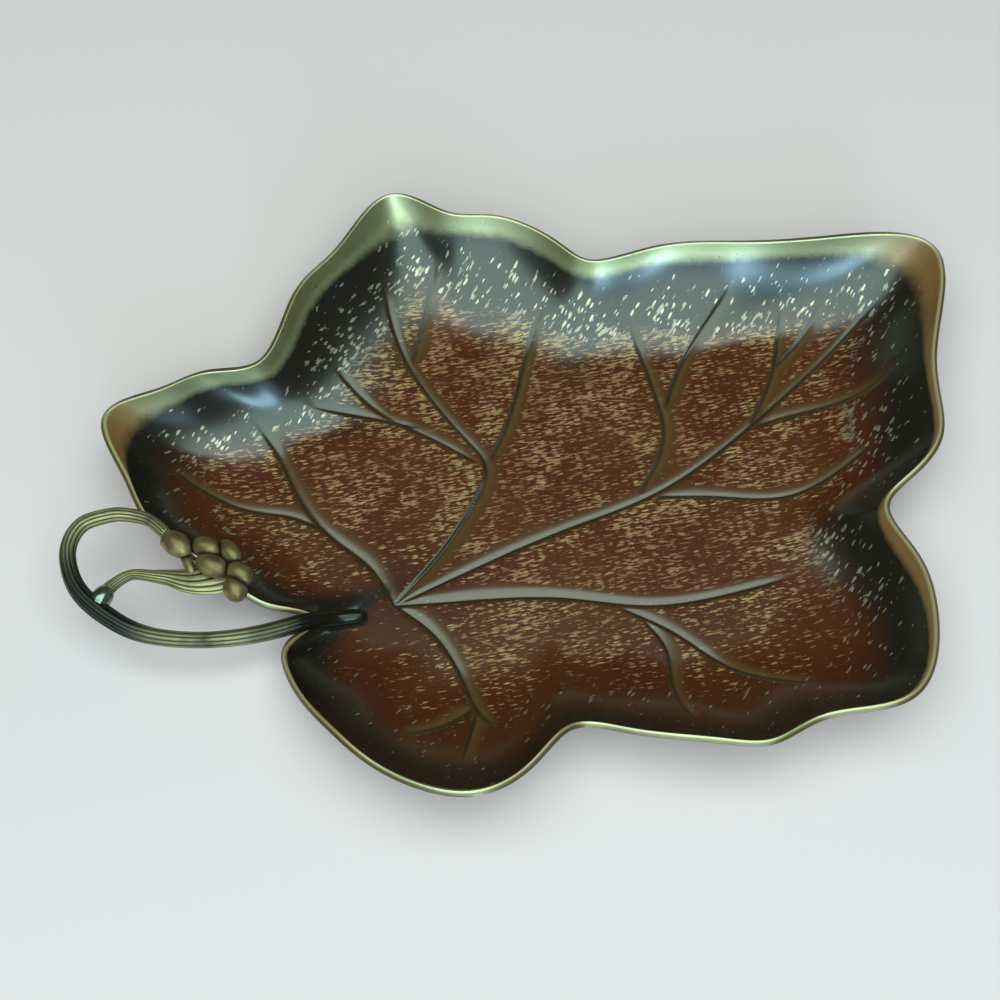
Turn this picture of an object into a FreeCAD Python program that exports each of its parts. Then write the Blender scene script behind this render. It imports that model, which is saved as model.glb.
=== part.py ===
# Leaf-shaped ring dish: a pressed brass leaf with a reeded stem handle and a cluster of buds.
# Millimetres, +Z up. The origin lies under the point where the main veins meet, on the plane
# that the dish stands on, and +X runs along the dish, away from the handle.
import FreeCAD
import Part
import math
import os

from FreeCAD import Placement, Rotation, Vector

UP = Vector(0, 0, 1)
# A point this near a face lies on it, and one on a crease takes the face this far beside it
NEAR = 0.001
BESIDE = 0.05

# Driving dimensions: name, value, meaning
SIZES = [
    ("sheet", 1.2, "thickness of the pressed sheet"),
    ("floor_centre_x", 30.0, "point of the floor that the walls lean away from"),
    ("floor_centre_y", 25.0, "point of the floor that the walls lean away from"),
    ("rise_tip", 19.0, "rim height at a lobe's tip"),
    ("rise_side", 18.0, "rim height along a lobe's side"),
    ("rise_near", 16.8, "rim height beside a hollow between two lobes"),
    ("rise_sinus", 15.6, "rim height at a hollow between two lobes"),
    ("rise_root", 14.0, "rim height where it starts to fall towards the stem"),
    ("rise_foot", 9.5, "rim height beside the notch"),
    ("rise_lip", 7.2, "rim height on either side of the notch"),
    ("rise_notch", 5.5, "rim height in the notch that the stem lies in"),
    ("run_tip", 36.0, "width of the wall at a lobe's tip"),
    ("run_side", 30.0, "width of the wall along a lobe's side"),
    ("run_near", 26.0, "width of the wall beside a hollow"),
    ("run_sinus", 22.0, "width of the wall at a hollow"),
    ("run_root", 22.0, "width of the wall where the rim starts to fall"),
    ("run_foot", 17.0, "width of the wall beside the notch"),
    ("run_lip", 14.0, "width of the wall on either side of the notch"),
    ("run_notch", 12.0, "width of the wall in the notch"),
    ("wall_foot", 0.45, "share of the wall's width that leaves the floor flat"),
    ("wall_knee", 0.8, "share of the wall's width at which the wall turns up"),
    ("wall_knee_rise", 0.45, "share of the wall's height at that turn"),
    ("wall_bands", 6, "bands that make up the wall's curve"),
    ("main_width", 5.0, "width of a main vein where it starts"),
    ("main_depth", 1.25, "depth of a main vein where it starts"),
    ("side_width", 3.2, "width of a side vein where it starts"),
    ("side_depth", 0.6, "depth of a side vein where it starts"),
    ("vein_end_width", 1.8, "width of every vein where it ends"),
    ("vein_end_depth", 0.35, "depth of every vein where it ends"),
    ("crease_shift", 0.3, "how far a vein's crease lies from its middle, as a share of half its width"),
    ("crest_flat", 0.25, "height ground off the main veins' crests, which the dish stands on"),
    ("stem_fork_radius", 1.95, "radius of the stem at the fork, where it is thickest"),
    ("stem_end_radius", 1.15, "radius of the stem at the end of its loop"),
    ("tongue_radius", 1.45, "radius of the stem's tongue on the leaf"),
    ("tongue_tip_radius", 0.9, "radius of the tongue at its very end"),
    ("tongue_bed", 0.7, "height of the tongue's centre over its solder"),
    ("reeds", 8, "reeds round the stem"),
    ("reed_bulge", 0.14, "how far each reed bulges, as a share of the radius"),
    ("solder", 0.3, "thickness of the solder under the tongue"),
    ("solder_margin", 0.5, "how far the solder shows round the tongue"),
    ("saddle_gap", 0.3, "gap between the notch's rim and the stem above it"),
    ("cluster_lift", 3.0, "height of the buds' centres over the falling rim"),
    ("fan_drop", 2.2, "height of the buds' centres over the branch's fan"),
    ("branch_radius", 1.0, "radius of the branch that carries the buds"),
    ("fan_half_width", 4.4, "half the width of the branch's fan"),
    ("fan_half_height", 0.75, "half the thickness of the branch's fan"),
]

# Rim of the leaf, counterclockwise from the notch: name, kind of place, x, y
OUTLINE = [
    ("notch", "notch", -16.2, -4.9),
    ("bottom_lip", "lip", -21.0, -11.2),
    ("bottom_foot", "foot", -21.6, -16.2),
    ("bottom_root", "root", -17.3, -25.8),
    ("bottom_left", "side", -10.1, -35.0),
    ("bottom_edge", "side", -0.9, -42.6),
    ("bottom_tip", "tip", 15.5, -48.2),
    ("bottom_right", "side", 27.3, -42.6),
    ("bottom_near", "near", 34.7, -34.3),
    ("bottom_sinus", "sinus", 40.4, -32.4),
    ("right_near", "near", 49.9, -34.6),
    ("right_low", "side", 65.1, -36.8),
    ("right_edge", "side", 75.7, -36.9),
    ("right_out", "side", 86.5, -31.6),
    ("right_tip", "tip", 104.0, -27.2),
    ("right_side", "side", 109.9, -7.1),
    ("right_up", "near", 107.0, 6.0),
    ("right_sinus", "sinus", 103.2, 17.1),
    ("apex_near", "near", 109.8, 24.8),
    ("apex_low", "side", 116.2, 34.1),
    ("apex_side", "side", 117.0, 54.0),
    ("apex_tip", "tip", 119.9, 82.3),
    ("apex_top", "side", 96.9, 85.3),
    ("apex_mid", "side", 77.0, 84.0),
    ("apex_in", "near", 58.5, 83.7),
    ("top_sinus", "sinus", 42.6, 80.6),
    ("top_near", "near", 34.3, 85.5),
    ("top_right", "side", 21.0, 91.5),
    ("top_edge", "side", 9.7, 92.6),
    ("top_tip", "tip", -3.0, 97.0),
    ("top_left", "side", -14.2, 82.6),
    ("top_low", "side", -23.0, 70.3),
    ("left_sinus", "sinus", -30.3, 53.1),
    ("left_near", "near", -42.1, 49.2),
    ("left_top", "side", -51.7, 43.8),
    ("left_tip", "tip", -61.9, 37.2),
    ("left_low", "side", -56.7, 23.6),
    ("left_back", "near", -50.2, 12.0),
    ("left_root", "root", -40.0, 5.0),
    ("left_foot", "foot", -28.0, -2.3),
    ("left_lip", "lip", -21.6, -3.1),
]

# Veins of each lobe, as shares of the way from the veins' meeting point to the lobe's tip:
# along that way, and across it to its left
MAIN_VEINS = {
    "left": [(0, 0), (0.13, -0.07), (0.30, -0.10), (0.46, -0.17), (0.60, -0.26), (0.71, -0.30)],
    "top": [(0, 0), (0.12, -0.10), (0.23, -0.17), (0.34, -0.21), (0.43, -0.16), (0.64, -0.03), (0.83, 0.02)],
    "apex": [(0, 0), (0.24, -0.03), (0.40, -0.06), (0.54, -0.06), (0.78, -0.02), (0.93, 0.01)],
    "right": [(0, 0), (0.14, 0.05), (0.31, 0.10), (0.45, 0.12), (0.57, 0.16), (0.76, 0.27)],
    "bottom": [(0, 0), (0.16, 0.11), (0.39, 0.17), (0.59, 0.19), (0.68, 0.24)],
}
SIDE_VEINS = [
    ("left", [(0.29, -0.10), (0.43, -0.09), (0.58, -0.03), (0.81, -0.01)]),
    ("top", [(0.35, -0.20), (0.43, -0.08), (0.49, 0.02), (0.61, 0.14)]),
    ("top", [(0.45, -0.07), (0.49, 0.07), (0.51, 0.21)]),
    ("top", [(0.62, -0.04), (0.77, -0.08), (0.88, -0.10)]),
    ("top", [(0.34, -0.21), (0.48, -0.27), (0.67, -0.32), (0.78, -0.36)]),
    ("apex", [(0.39, -0.06), (0.49, 0.00), (0.53, 0.07), (0.58, 0.22)]),
    ("apex", [(0.52, 0.04), (0.62, 0.11), (0.74, 0.15)]),
    ("apex", [(0.60, -0.06), (0.70, 0.00), (0.79, 0.09)]),
    ("apex", [(0.71, 0.01), (0.78, 0.03), (0.85, 0.06)]),
    ("apex", [(0.61, -0.05), (0.71, -0.08), (0.80, -0.11), (0.87, -0.10)]),
    ("apex", [(0.41, -0.06), (0.50, -0.12), (0.59, -0.18), (0.75, -0.19)]),
    ("right", [(0.41, 0.11), (0.55, 0.08), (0.68, 0.03), (0.84, 0.03)]),
    ("right", [(0.47, 0.10), (0.54, 0.04), (0.57, -0.04), (0.63, -0.12)]),
    ("bottom", [(0.55, 0.18), (0.60, 0.02), (0.60, -0.15)]),
    ("bottom", [(0.58, 0.18), (0.72, 0.10), (0.84, 0.03)]),
]
VEIN_SECTIONS = 6
# Every vein has its wide flank on this side of its crease
FLANK_SIDE = Vector(0.6, 0.8, 0)

# The stem's tongue on the leaf, from its end to the notch: x, y from the notch
TONGUE_PATH = [(10.5, 1.8), (9.6, 1.8), (7.9, 1.7), (4.0, 1.0), (0.6, -0.3)]
# The stem from the notch round its loop: x, y from the notch, share of the climb to the buds,
# and thickness, from 0 at the loop's end to 1 at the fork
STEM_PATH = [
    (-3.4, -2.4, 0.0, 0.75),
    (-9.1, -4.6, 0.1, 0.7),
    (-15.0, -6.3, 0.2, 0.62),
    (-23.0, -7.4, 0.3, 0.5),
    (-32.1, -7.0, 0.39, 0.62),
    (-38.3, -5.1, 0.46, 0.85),
    (-44.1, -1.4, 0.52, 1.0),
    (-48.5, 2.8, 0.6, 0.8),
    (-51.0, 8.2, 0.69, 0.62),
    (-51.2, 12.5, 0.78, 0.55),
    (-48.8, 16.6, 0.87, 0.5),
    (-45.1, 18.1, 0.93, 0.42),
    (-41.3, 18.6, 0.98, 0.33),
    (-37.0, 18.0, 1.0, 0.22),
    (-34.0, 16.8, 1.0, 0.1),
    (-30.3, 13.4, 1.0, 0.0),
]
STEM_SECTIONS = 52
SOLDER_SECTIONS = 6
# The branch from the fork to its fan: x, y from the notch, share of the climb, share of the fan
BRANCH_PATH = [
    (-44.7, 0.0, 0.0, 0.0),
    (-42.7, 2.7, 0.1, 0.0),
    (-40.3, 4.9, 0.25, 0.0),
    (-37.6, 6.1, 0.45, 0.0),
    (-33.8, 5.6, 0.7, 0.05),
    (-29.5, 4.9, 0.9, 0.2),
    (-25.3, 4.2, 1.0, 0.5),
    (-21.5, 5.0, 1.0, 0.85),
    (-17.9, 6.3, 1.0, 1.0),
]
BRANCH_SECTIONS = 18
# Share of the stem's climb at the fork
FORK_CLIMB = 0.53

# Braze at the fork, the buds and the end bud's stalk: name, x and y from the notch, height over
# the buds' middle, heading in degrees, length, width, and the pieces that each one seats on
OVALS = [
    ("fork_braze", -43.6, 1.0, -4.1, 62.0, 6.4, 4.4, ["stem_handle", "bud_branch"]),
    ("end_bud", -28.4, 11.5, 0.0, -35.0, 7.2, 5.2, ["stem_handle"]),
    ("bud_stalk", -25.9, 7.8, -1.3, 118.0, 5.4, 2.4, ["bud_branch", "end_bud"]),
    ("bud_middle", -20.7, 6.4, 0.2, -25.0, 7.2, 4.6, ["bud_branch"]),
    ("bud_lower", -15.6, 1.3, -0.5, -60.0, 5.6, 4.9, ["bud_branch", "bud_middle"]),
    ("bud_upper_left", -22.0, 10.6, 0.2, -20.0, 6.4, 4.4, ["bud_branch", "end_bud", "bud_middle"]),
    ("bud_right", -14.8, 4.5, 0.3, -35.0, 6.0, 4.4, ["bud_branch", "bud_middle", "bud_lower"]),
    ("bud_upper_right", -17.2, 9.6, 0.1, -50.0, 6.2, 3.8,
     ["bud_branch", "bud_middle", "bud_upper_left", "bud_right"]),
]
# Facets along an oval and round it
OVAL_BANDS = 8
OVAL_SIDES = 12


def fill_sheet(doc):
    """Spreadsheet with every driving dimension under its own alias."""
    rows = list(SIZES)
    for name, kind, x, y in OUTLINE:
        rows.append((name + "_x", x, "rim point along the dish"))
        rows.append((name + "_y", y, "rim point across the dish"))
    for name, x, y, lift, heading, length, width, seats in OVALS:
        rows.append((name + "_x", x, "place along the dish from the notch"))
        rows.append((name + "_y", y, "place across the dish from the notch"))
        rows.append((name + "_lift", lift, "height over the buds' middle"))
        rows.append((name + "_heading", heading, "heading in degrees"))
        rows.append((name + "_length", length, "length of the oval"))
        rows.append((name + "_width", width, "width and height of the oval"))
    sheet = doc.addObject("Spreadsheet::Sheet", "Sizes")
    for number, (alias, value, meaning) in enumerate(rows, start=1):
        sheet.set("A%d" % number, meaning)
        sheet.set("B%d" % number, str(value))
        sheet.setAlias("B%d" % number, alias)
    doc.recompute()
    return {alias: float(sheet.get(alias)) for alias, value, meaning in rows}


def rim_points(size):
    """Rim stations in plan with their kinds."""
    return [(Vector(size[name + "_x"], size[name + "_y"], 0), kind) for name, kind, x, y in OUTLINE]


def bezier(poles, share):
    """Point of a cubic curve with four poles."""
    rest = 1 - share
    weights = (rest ** 3, 3 * share * rest ** 2, 3 * share ** 2 * rest, share ** 3)
    point = Vector()
    for pole, weight in zip(poles, weights):
        point = point + pole * weight
    return point


class Leaf:
    """Rings of points from the floor's edge to the rim, on the leaf's upper and lower face."""

    def __init__(self, size):
        self.size = size
        self.under = size["main_depth"] - size["crest_flat"]
        self.top = self.under + size["sheet"]
        self.stations = rim_points(size)
        self.knots = self.spacing()
        poles = [self.wall_poles(i) for i in range(len(self.stations))]
        bands = int(size["wall_bands"])
        shares = [k / bands for k in range(bands + 1)]
        self.upper = [[bezier(upper, share) for upper, lower in poles] for share in shares]
        self.lower = [[bezier(lower, share) for upper, lower in poles] for share in shares]
        self.upper_shell = Part.makeLoft([self.ring(points) for points in self.upper], False, True)

    def spacing(self):
        """Curve parameters of the stations, spaced by the root of their distances."""
        knots = [0.0]
        places = [place for place, kind in self.stations]
        for here, there in zip(places, places[1:] + places[:1]):
            knots.append(knots[-1] + math.sqrt((there - here).Length))
        return knots

    def outward(self, i):
        """Direction square to the rim in plan at one station."""
        along = self.stations[(i + 1) % len(self.stations)][0] - self.stations[i - 1][0]
        return Vector(along.y, -along.x, 0).normalize()

    def wall_poles(self, i):
        """Four poles of the wall's curve at one station, for the upper and the lower face."""
        size = self.size
        place, kind = self.stations[i]
        run = size["run_" + kind]
        climb = size["rise_" + kind] - self.top
        lean = (place - Vector(size["floor_centre_x"], size["floor_centre_y"], 0)).normalize()
        edge = place - lean * run + UP * self.top
        foot = edge + lean * (run * size["wall_foot"])
        knee = edge + lean * (run * size["wall_knee"]) + UP * (climb * size["wall_knee_rise"])
        rim = place + UP * (climb + self.top)
        outward = self.outward(i)
        flat_run = (rim - knee).dot(outward)
        steep = math.atan2(rim.z - knee.z, flat_run)
        wall = (outward * math.sin(steep) - UP * math.cos(steep)) * size["sheet"]
        floor = UP * -size["sheet"]
        return [edge, foot, knee, rim], [edge + floor, foot + floor, knee + wall, rim + wall]

    def ring(self, points):
        """Closed smooth wire through one point per station, in one edge per lobe."""
        curve = Part.BSplineCurve()
        curve.interpolate(Points=points, PeriodicFlag=True, Parameters=self.knots)
        hollows = [knot for knot, (place, kind) in zip(self.knots, self.stations) if kind == "sinus"]
        ends = [self.knots[0]] + hollows + [self.knots[-1]]
        return Part.Wire([curve.toShape(start, end) for start, end in zip(ends, ends[1:])])

    def blank(self):
        """The cupped sheet without its veins."""
        rings = [self.ring(points) for points in self.upper + self.lower[::-1]]
        return Part.makeLoft(rings, True, True)

    def bed(self, lift):
        """Everything under the leaf's upper face and under its rim, raised by a distance."""
        lip_width = 2 * self.size["sheet"]
        depth = UP * (-2 * self.top)
        lip = [point + self.outward(i) * lip_width for i, point in enumerate(self.upper[-1])]
        skirt = [Vector(point.x, point.y, 0) + depth for point in lip]
        rings = [self.ring(points) for points in [skirt, lip] + self.upper[::-1]]
        solid = Part.makeLoft(rings, True, True)
        solid.translate(UP * lift)
        return solid

    def surface_at(self, x, y):
        """Point and upward normal of the upper face over a plan point."""
        line = Part.makeLine(Vector(x, y, -2 * self.top), Vector(x, y, 2 * self.size["rise_tip"]))
        gap, points, support = self.upper_shell.distToShape(line)
        if gap > NEAR:
            return Vector(x, y, self.top), UP
        kind, index, place = support[0][:3]
        if kind != "Face":
            return self.surface_at(x + BESIDE, y + BESIDE)
        normal = self.upper_shell.Faces[index].normalAt(*place)
        return points[0][0], normal if normal.z > 0 else normal * -1


def vein_plan(size, lobe, shares):
    """Plan points of a vein, from its shares of the way to the lobe's tip."""
    tip = Vector(size[lobe + "_tip_x"], size[lobe + "_tip_y"], 0)
    across = Vector(-tip.y, tip.x, 0)
    return [tip * along + across * aside for along, aside in shares]


def vee_section(point, aside, down, half_width, top, bottom, crease):
    """Three-sided section whose flat top and pointed bottom lie at two depths under a point."""
    left = point - aside * half_width + down * top
    right = point + aside * half_width + down * top
    return Part.makePolygon([left, point + aside * crease + down * bottom, right, left])


def vein_tools(leaf, plan, width, depth):
    """Groove of one vein and the ridge a sheet beneath it."""
    size = leaf.size
    curve = Part.BSplineCurve()
    curve.interpolate(plan)
    last = VEIN_SECTIONS - 1
    stops = [curve.parameterAtDistance(curve.length() * k / last) for k in range(VEIN_SECTIONS)]
    half_sheet = size["sheet"] / 2
    flank_on_left = UP.cross(plan[-1] - plan[0]).dot(FLANK_SIDE) > 0
    shift = -size["crease_shift"] if flank_on_left else size["crease_shift"]
    groove = []
    ridge = []
    for k, stop in enumerate(stops):
        half = (width + (size["vein_end_width"] - width) * k / last) / 2
        deep = depth + (size["vein_end_depth"] - depth) * k / last
        place = curve.value(stop)
        point, normal = leaf.surface_at(place.x, place.y)
        aside = normal.cross(curve.tangent(stop)[0]).normalize()
        crest = deep + size["sheet"] * math.hypot(half, deep) / half
        groove_half = half * (1 + half_sheet / deep)
        ridge_half = half * (crest - half_sheet) / deep
        crease = half * shift
        groove.append(vee_section(point, aside, normal * -1, groove_half, -half_sheet, deep, crease))
        ridge.append(vee_section(point, aside, normal * -1, ridge_half, half_sheet, crest, crease))
    return Part.makeLoft(groove, True, False), Part.makeLoft(ridge, True, False)


def leaf_shape(leaf):
    """The cupped leaf: main veins pressed right through it, side veins chased into its upper face."""
    size = leaf.size
    main = [vein_plan(size, lobe, shares) for lobe, shares in MAIN_VEINS.items()]
    side = [vein_plan(size, lobe, shares) for lobe, shares in SIDE_VEINS]
    pressed = [vein_tools(leaf, plan, size["main_width"], size["main_depth"]) for plan in main]
    chased = [vein_tools(leaf, plan, size["side_width"], size["side_depth"]) for plan in side]
    shape = leaf.blank().fuse([ridge for groove, ridge in pressed])
    shape = shape.cut([groove for groove, ridge in pressed])
    shape = shape.cut([groove for groove, ridge in chased])
    box = shape.BoundBox
    corner = Vector(box.XMin, box.YMin, -box.ZLength)
    return shape.cut(Part.makeBox(box.XLength, box.YLength, box.ZLength, corner))


def reeded_section(centre, along, half_width, half_height, size):
    """Closed outline round a bar, with one ridge for each reed."""
    aside = along.cross(UP).normalize()
    over = aside.cross(along).normalize()
    corners = 2 * int(size["reeds"])
    points = []
    for k in range(corners + 1):
        angle = 2 * math.pi * k / corners
        swell = 1 + size["reed_bulge"] * (k % 2)
        across = aside * (half_width * swell * math.cos(angle))
        points.append(centre + across + over * (half_height * swell * math.sin(angle)))
    return Part.makePolygon(points)


def reeded_bar(points, half_sizes, count, size):
    """Reeded bar through a row of points, with half its width and height given at each point."""
    path = Part.BSplineCurve()
    path.interpolate(points)
    marks = [path.parameter(point) for point in points]
    sections = []
    for k in range(count):
        stop = path.parameterAtDistance(path.length() * k / (count - 1))
        span = max(i for i, mark in enumerate(marks[:-1]) if mark <= stop + NEAR)
        share = (stop - marks[span]) / (marks[span + 1] - marks[span])
        half = [a + (b - a) * share for a, b in zip(half_sizes[span], half_sizes[span + 1])]
        sections.append(reeded_section(path.value(stop), path.tangent(stop)[0], half[0], half[1], size))
    return Part.makeLoft(sections, True, True)


def heights(size):
    """Height of the stem's centre over the notch, and of the buds' centres."""
    saddle = size["rise_notch"] + size["saddle_gap"] + size["stem_fork_radius"] * (1 + size["reed_bulge"])
    return saddle, size["rise_root"] + size["cluster_lift"]


def stem_points(leaf):
    """Centre line of the stem with its radius at each point, from the tongue's end round the loop."""
    size = leaf.size
    saddle, cluster = heights(size)
    thicker = size["stem_fork_radius"] - size["stem_end_radius"]
    points = []
    radii = []
    for k, (x, y) in enumerate(TONGUE_PATH):
        place, normal = leaf.surface_at(size["notch_x"] + x, size["notch_y"] + y)
        points.append(place + UP * (size["solder"] + size["tongue_bed"]))
        radii.append(size["tongue_radius"] if k else size["tongue_tip_radius"])
    for x, y, climb, thickness in STEM_PATH:
        height = saddle + (cluster - saddle) * climb
        points.append(Vector(size["notch_x"] + x, size["notch_y"] + y, height))
        radii.append(size["stem_end_radius"] + thicker * thickness)
    return points, radii


def stem_shape(leaf):
    """The reeded stem, with its tongue cut to lie on the solder."""
    points, radii = stem_points(leaf)
    bar = reeded_bar(points, [(radius, radius) for radius in radii], STEM_SECTIONS, leaf.size)
    return bar.cut(leaf.bed(leaf.size["solder"]))


def solder_shape(leaf):
    """Solder between the tongue and the leaf, with a margin that shows round the tongue."""
    size = leaf.size
    points, radii = stem_points(leaf)
    tongue = points[:len(TONGUE_PATH)]
    wide = [(radius + size["solder_margin"], radius + size["solder_margin"]) for radius in radii]
    bar = reeded_bar(tongue, wide[:len(tongue)], SOLDER_SECTIONS, size)
    return bar.common(leaf.bed(size["solder"])).cut(leaf.bed(0))


def branch_shape(leaf, stem):
    """The branch from the fork to a flat fan under the buds, cut to seat on the stem."""
    size = leaf.size
    saddle, cluster = heights(size)
    fork = saddle + (cluster - saddle) * FORK_CLIMB
    fan = cluster - size["fan_drop"]
    points = []
    half_sizes = []
    for x, y, climb, spread in BRANCH_PATH:
        points.append(Vector(size["notch_x"] + x, size["notch_y"] + y, fork + (fan - fork) * climb))
        wide = size["branch_radius"] + (size["fan_half_width"] - size["branch_radius"]) * spread
        high = size["branch_radius"] + (size["fan_half_height"] - size["branch_radius"]) * spread
        half_sizes.append((wide, high))
    return reeded_bar(points, half_sizes, BRANCH_SECTIONS, size).cut(stem)


def add_feature(doc, name, shape):
    """Document object that holds a shape made with the functions above."""
    feature = doc.addObject("Part::Feature", name)
    feature.Shape = shape
    feature.Placement = Placement()
    feature.Label = name
    return feature


def flat_face(corners):
    """Flat face inside a row of corners."""
    return Part.Face(Part.makePolygon(corners + corners[:1]))


def oval_shape(length, width):
    """Oval along X with flat facets."""
    turns = [Rotation(Vector(1, 0, 0), 360 * side / OVAL_SIDES) for side in range(OVAL_SIDES)]
    rings = []
    for band in range(1, OVAL_BANDS):
        angle = math.pi * band / OVAL_BANDS
        centre = Vector(-length / 2 * math.cos(angle), 0, 0)
        spoke = Vector(0, width / 2 * math.sin(angle), 0)
        rings.append([centre + turn.multVec(spoke) for turn in turns])
    tail = Vector(-length / 2, 0, 0)
    tip = Vector(length / 2, 0, 0)
    faces = []
    for side in range(OVAL_SIDES):
        faces.append(flat_face([tail, rings[0][side], rings[0][side - 1]]))
        faces.append(flat_face([tip, rings[-1][side - 1], rings[-1][side]]))
        for low, high in zip(rings, rings[1:]):
            faces.append(flat_face([low[side - 1], low[side], high[side], high[side - 1]]))
    return Part.Solid(Part.Shell(faces))


def add_oval(doc, name, size, seats):
    """Oval placed by the sheet and hollowed where it seats on its neighbours."""
    piece = add_feature(doc, name + "_oval", oval_shape(size[name + "_length"], size[name + "_width"]))
    piece.Placement = Placement(Vector(), Rotation(UP, 0))
    piece.setExpression("Placement.Base.x", "Sizes.notch_x + Sizes.%s_x" % name)
    piece.setExpression("Placement.Base.y", "Sizes.notch_y + Sizes.%s_y" % name)
    piece.setExpression("Placement.Base.z", "Sizes.rise_root + Sizes.cluster_lift + Sizes.%s_lift" % name)
    piece.setExpression("Placement.Rotation.Angle", "Sizes.%s_heading" % name)
    for seat in seats:
        cut = doc.addObject("Part::Cut", name + "_on_" + seat.Name)
        cut.Base = piece
        cut.Tool = seat
        piece = cut
    piece.Label = name
    return piece


def check(doc, pieces):
    """Stop on a failed object, or on a piece with an empty or invalid shape."""
    for item in doc.Objects:
        if "Invalid" in item.State or "Error" in item.State:
            raise RuntimeError(item.Label + " failed: " + ", ".join(item.State))
    for piece in pieces:
        if piece.Shape.isNull() or not piece.Shape.isValid():
            raise RuntimeError(piece.Label + " has no valid shape")
        print(piece.Label, len(piece.Shape.Solids), round(piece.Shape.Volume, 1))


def main():
    doc = FreeCAD.newDocument("RingDish")
    size = fill_sheet(doc)
    leaf = Leaf(size)
    stem = stem_shape(leaf)
    shapes = {
        "leaf_dish": leaf_shape(leaf),
        "tongue_solder": solder_shape(leaf),
        "stem_handle": stem,
        "bud_branch": branch_shape(leaf, stem),
    }
    pieces = {name: add_feature(doc, name, shape) for name, shape in shapes.items()}
    for name, x, y, lift, heading, length, width, seats in OVALS:
        pieces[name] = add_oval(doc, name, size, [pieces[seat] for seat in seats])
    doc.recompute()
    check(doc, pieces.values())
    os.makedirs("parts", exist_ok=True)
    for piece in pieces.values():
        piece.Shape.exportStep(os.path.join("parts", piece.Label + ".step"))


main()
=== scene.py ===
import math

import bpy
import numpy as np
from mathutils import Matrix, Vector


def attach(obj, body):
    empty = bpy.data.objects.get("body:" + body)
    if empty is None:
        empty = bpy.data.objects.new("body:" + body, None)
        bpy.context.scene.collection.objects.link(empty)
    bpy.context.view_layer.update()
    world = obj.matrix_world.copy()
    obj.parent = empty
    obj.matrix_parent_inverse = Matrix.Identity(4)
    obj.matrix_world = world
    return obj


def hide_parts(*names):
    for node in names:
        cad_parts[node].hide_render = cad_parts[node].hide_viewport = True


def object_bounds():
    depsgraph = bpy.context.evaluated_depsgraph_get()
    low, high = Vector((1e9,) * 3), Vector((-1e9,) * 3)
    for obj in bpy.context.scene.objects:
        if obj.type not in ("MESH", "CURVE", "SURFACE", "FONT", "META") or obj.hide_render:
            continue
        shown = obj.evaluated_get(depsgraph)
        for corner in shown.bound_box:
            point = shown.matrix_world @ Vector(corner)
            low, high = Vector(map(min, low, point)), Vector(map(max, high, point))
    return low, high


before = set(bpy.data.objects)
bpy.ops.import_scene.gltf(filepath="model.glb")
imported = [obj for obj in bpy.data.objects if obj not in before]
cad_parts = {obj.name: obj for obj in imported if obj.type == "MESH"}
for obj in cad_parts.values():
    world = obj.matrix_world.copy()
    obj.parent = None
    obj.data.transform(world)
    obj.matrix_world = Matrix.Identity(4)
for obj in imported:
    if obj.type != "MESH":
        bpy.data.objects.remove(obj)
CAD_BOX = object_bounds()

# Sizes below are in millimetres, and MM turns them into metres
MM = 0.001
UP = np.array([0.0, 0.0, 1.0])

# Leaf sheet
SHEET = 1.2
FLOOR_TOP = 2.2
FLOOR_CENTRE = np.array([30.0, 25.0, 0.0])
FLOOR_MIDDLE = FLOOR_CENTRE + UP * FLOOR_TOP
# How far the rim's rounded edge bulges out
RIM_BULGE = 0.048
# Height of the rim and breadth of the wall at each kind of place on the outline
RISE = {"tip": 19.0, "side": 18.0, "near": 16.8, "sinus": 15.6, "root": 14.0, "foot": 9.5, "lip": 7.2,
        "notch": 5.5}
RUN = {"tip": 36.0, "side": 30.0, "near": 26.0, "sinus": 22.0, "root": 22.0, "foot": 17.0, "lip": 14.0,
       "notch": 12.0}
# Width of the polished rim on the far side of the dish, and its least share on the near side
POLISH = {"tip": 8.5, "side": 5.0, "near": 4.6, "sinus": 4.2, "root": 3.0, "foot": 2.0, "lip": 1.2,
          "notch": 0.9}
POLISH_LEAST = 0.12
# Reach of the sprayed dark band from the rim, on the near and on the far side of the dish
SPRAY_NEAR = 18.0
SPRAY_FAR = 37.0
# Parts of the rim's outward direction to the far side (north) and to the right (east), over which the
# polish widens, the spray reaches further and the brass turns coppery, on the left only below some y
POLISH_NORTH = (-0.6, 0.5)
SPRAY_NORTH = (-0.7, 0.7)
COPPER_EAST = (0.35, 0.9)
COPPER_WEST = (-0.3, -0.9)
COPPER_LEFT_Y = (48.0, 36.0)
# Poles of the wall's curve between floor and rim: shares of the wall's run, and of its climb
WALL_FOOT = 0.45
WALL_KNEE = 0.8
WALL_KNEE_RISE = 0.45

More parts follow.
